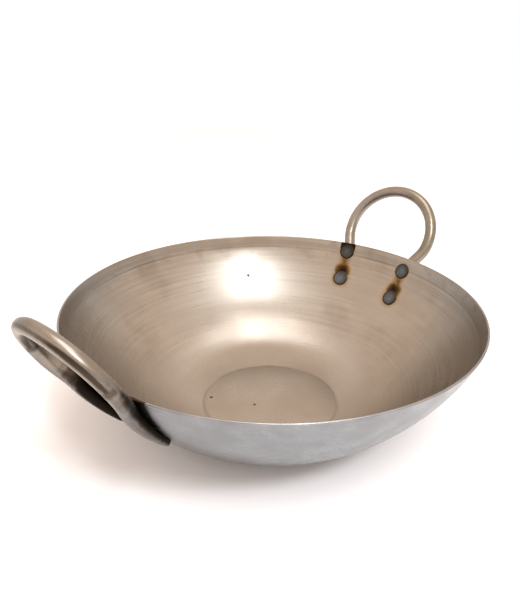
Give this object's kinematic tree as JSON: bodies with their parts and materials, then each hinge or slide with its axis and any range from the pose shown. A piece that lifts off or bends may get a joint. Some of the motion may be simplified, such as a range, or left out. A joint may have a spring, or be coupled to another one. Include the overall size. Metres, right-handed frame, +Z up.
{
  "type": "kadai",
  "caption": "Round spun steel kadai with a deep curved bowl, a small flat base and two solid round bar loop handles spot welded to the wall.",
  "frame": {"origin": "centre of the flat base's underside, at the middle of the round bowl", "axes": "+Z up along the bowl's axis, +X towards the right handle and -X towards the left handle"},
  "size_m": [0.375, 0.2996, 0.137],
  "materials": {
    "spun_steel": "satin",
    "bar_steel": "satin",
    "weld_steel": "satin"
  },
  "bodies": {
    "root": {"bowl": "spun_steel", "right_handle": "bar_steel", "left_handle": "bar_steel", "right_weld_upper_a": "weld_steel", "right_weld_upper_b": "weld_steel", "right_weld_lower_a": "weld_steel", "right_weld_lower_b": "weld_steel", "left_weld_upper_a": "weld_steel", "left_weld_upper_b": "weld_steel", "left_weld_lower_a": "weld_steel", "left_weld_lower_b": "weld_steel"}
  },
  "joints": []
}
